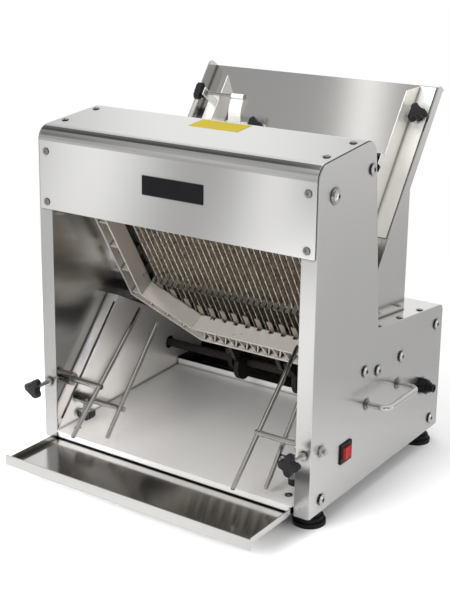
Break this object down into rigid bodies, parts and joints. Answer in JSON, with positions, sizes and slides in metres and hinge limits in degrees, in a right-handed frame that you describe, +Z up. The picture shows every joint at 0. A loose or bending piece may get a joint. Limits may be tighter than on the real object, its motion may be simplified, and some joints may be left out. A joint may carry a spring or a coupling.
{
  "type": "bread slicer",
  "caption": "Table-top bread slicer in brushed steel: sloping loaf chute, two opposed blade frames, outfeed guides, pull-out crumb tray, side switch.",
  "frame": {"origin": "Middle of the overall box, on the table under the feet.", "axes": "+Z up, front with the outfeed and crumb tray towards -Y, +X to the right seen from the front."},
  "size_m": [0.65, 0.6292, 0.6755],
  "materials": {
    "brushed_sheet": "brushed",
    "bright_steel": "polished",
    "blade_steel": "ground",
    "cast_frame": "cast, satin",
    "dark_iron": "oiled black",
    "motor_paint": "satin black",
    "knob_plastic": "moulded",
    "switch_black": "gloss",
    "switch_red": "gloss",
    "black_rubber": "moulded"
  },
  "bodies": {
    "casing": {"left_side_panel": "brushed_sheet", "right_side_panel": "brushed_sheet", "hood": "brushed_sheet", "base_plate": "brushed_sheet", "rear_panel": "brushed_sheet", "rear_top_cover": "brushed_sheet", "chute": "brushed_sheet", "chute_comb": "brushed_sheet", "chute_support": "brushed_sheet", "receiving_plate": "brushed_sheet", "left_guard": "brushed_sheet", "right_guard": "brushed_sheet", "hood_screws": "bright_steel", "cover_screws": "bright_steel", "plate_screws": "bright_steel", "side_bolts": "bright_steel", "left_handle": "bright_steel", "right_handle": "bright_steel", "guide_rods": "bright_steel", "column_clamps": "bright_steel", "guard_clamps": "bright_steel", "rod_brackets": "dark_iron", "bearing_blocks": "dark_iron", "motor": "motor_paint", "motor_bracket": "motor_paint", "cable_gland": "knob_plastic", "switch_housing": "switch_black", "rubber_feet": "black_rubber", "drive_belt": "black_rubber"},
    "front_frame": {"front_blade_frame": "cast_frame", "front_frame_fittings": "cast_frame", "front_blades": "blade_steel"},
    "rear_frame": {"rear_blade_frame": "cast_frame", "rear_frame_fittings": "cast_frame", "rear_blades": "blade_steel"},
    "crank": {"crankshaft": "dark_iron", "driven_pulley": "dark_iron"},
    "front_rods": {"front_con_rods": "dark_iron"},
    "rear_rods": {"rear_con_rods": "dark_iron"},
    "rotor": {"motor_shaft": "dark_iron", "motor_pulley": "dark_iron"},
    "tray": {"crumb_tray": "brushed_sheet"},
    "rocker": {"switch_rocker": "switch_red"},
    "left_infeed": {"left_infeed_guide": "brushed_sheet", "flap_rod": "bright_steel"},
    "right_infeed": {"right_infeed_guide": "brushed_sheet"},
    "flap": {"loaf_flap": "brushed_sheet"},
    "flap_knob_body": {"flap_knob": "knob_plastic"},
    "left_guide_knob_body": {"left_guide_knob": "knob_plastic"},
    "right_guide_knob_body": {"right_guide_knob": "knob_plastic"},
    "side_guide_knob_body": {"side_guide_knob": "knob_plastic"},
    "left_upper_knob_body": {"left_upper_knob": "knob_plastic"},
    "right_upper_knob_body": {"right_upper_knob": "knob_plastic"},
    "left_lower_knob_body": {"left_lower_knob": "knob_plastic"},
    "right_lower_knob_body": {"right_lower_knob": "knob_plastic"},
    "left_upper_guide_body": {"left_upper_guide": "bright_steel"},
    "right_upper_guide_body": {"right_upper_guide": "bright_steel"},
    "left_lower_guide_body": {"left_lower_guide": "bright_steel"},
    "right_lower_guide_body": {"right_lower_guide": "bright_steel"}
  },
  "joints": [
    {"name": "front_frame_slide", "type": "slide", "parent": "casing", "child": "front_frame", "axis": [0, -0.521, 0.8536], "range_m": [-0.01, 0.01]},
    {"name": "rear_frame_slide", "type": "slide", "parent": "casing", "child": "rear_frame", "axis": [0, -0.521, 0.8536], "range_m": [-0.01, 0.01]},
    {"name": "crank_spin", "type": "hinge", "parent": "casing", "child": "crank", "pos_m": [0, 0.15479, 0.1176], "axis": [1, 0, 0], "continuous": true},
    {"name": "front_rods_turn", "type": "hinge", "parent": "crank", "child": "front_rods", "pos_m": [0, 0.14625, 0.11239], "axis": [1, 0, 0], "continuous": true},
    {"name": "rear_rods_turn", "type": "hinge", "parent": "crank", "child": "rear_rods", "pos_m": [0, 0.16332, 0.12281], "axis": [1, 0, 0], "continuous": true},
    {"name": "motor_spin", "type": "hinge", "parent": "casing", "child": "rotor", "pos_m": [0, 0.23443, 0.17], "axis": [1, 0, 0], "continuous": true},
    {"name": "crumb_tray_slide", "type": "slide", "parent": "casing", "child": "tray", "axis": [0, 1, 0], "range_m": [-0.15, 0.124]},
    {"name": "switch_rock", "type": "hinge", "parent": "casing", "child": "rocker", "pos_m": [0.281, -0.07057, 0.107], "axis": [0, 0, 1], "range_deg": [-10, 10]},
    {"name": "left_infeed_slide", "type": "slide", "parent": "casing", "child": "left_infeed", "axis": [1, 0, 0], "range_m": [-0.005, 0.06]},
    {"name": "right_infeed_slide", "type": "slide", "parent": "casing", "child": "right_infeed", "axis": [1, 0, 0], "range_m": [-0.02, 0.005]},
    {"name": "flap_swing", "type": "hinge", "parent": "left_infeed", "child": "flap", "pos_m": [-0.133, 0.2152, 0.62221], "axis": [1, 0, 0], "range_deg": [-110, 3]},
    {"name": "flap_knob_turn", "type": "hinge", "parent": "left_infeed", "child": "flap_knob_body", "pos_m": [-0.22, 0.2152, 0.62221], "axis": [1, 0, 0], "range_deg": [-180, 180]},
    {"name": "left_guide_knob_turn", "type": "hinge", "parent": "left_infeed", "child": "left_guide_knob_body", "pos_m": [-0.095, 0.21466, 0.56978], "axis": [0, -0.8141, 0.5807], "range_deg": [-180, 180]},
    {"name": "right_guide_knob_turn", "type": "hinge", "parent": "right_infeed", "child": "right_guide_knob_body", "pos_m": [0.224, 0.25298, 0.62351], "axis": [0, -0.8141, 0.5807], "range_deg": [-180, 180]},
    {"name": "side_guide_knob_turn", "type": "hinge", "parent": "right_infeed", "child": "side_guide_knob_body", "pos_m": [0.19, 0.16922, 0.54569], "axis": [1, 0, 0], "range_deg": [-180, 180]},
    {"name": "left_upper_guide_slide", "type": "slide", "parent": "casing", "child": "left_upper_guide_body", "axis": [1, 0, 0], "range_m": [-0.045, 0]},
    {"name": "right_upper_guide_slide", "type": "slide", "parent": "casing", "child": "right_upper_guide_body", "axis": [1, 0, 0], "range_m": [0, 0.045]},
    {"name": "left_lower_guide_slide", "type": "slide", "parent": "casing", "child": "left_lower_guide_body", "axis": [1, 0, 0], "range_m": [-0.018, 0.02]},
    {"name": "right_lower_guide_slide", "type": "slide", "parent": "casing", "child": "right_lower_guide_body", "axis": [1, 0, 0], "range_m": [-0.02, 0.018]},
    {"name": "left_upper_knob_turn", "type": "hinge", "parent": "casing", "child": "left_upper_knob_body", "pos_m": [-0.267, -0.22857, 0.139], "axis": [0, 1, 0], "range_deg": [-180, 180]},
    {"name": "right_upper_knob_turn", "type": "hinge", "parent": "casing", "child": "right_upper_knob_body", "pos_m": [0.267, -0.22857, 0.139], "axis": [0, 1, 0], "range_deg": [-180, 180]},
    {"name": "left_lower_knob_turn", "type": "hinge", "parent": "casing", "child": "left_lower_knob_body", "pos_m": [-0.229, -0.13157, 0.064], "axis": [0, 0, 1], "range_deg": [-180, 180]},
    {"name": "right_lower_knob_turn", "type": "hinge", "parent": "casing", "child": "right_lower_knob_body", "pos_m": [0.229, -0.13157, 0.064], "axis": [0, 0, 1], "range_deg": [-180, 180]}
  ],
  "couplings": [
    {"joint": "rear_frame_slide", "follows": "front_frame_slide", "ratio": -1},
    {"joint": "front_rods_turn", "follows": "crank_spin", "ratio": -1},
    {"joint": "rear_rods_turn", "follows": "crank_spin", "ratio": -1},
    {"joint": "motor_spin", "follows": "crank_spin", "ratio": 2.3}
  ]
}
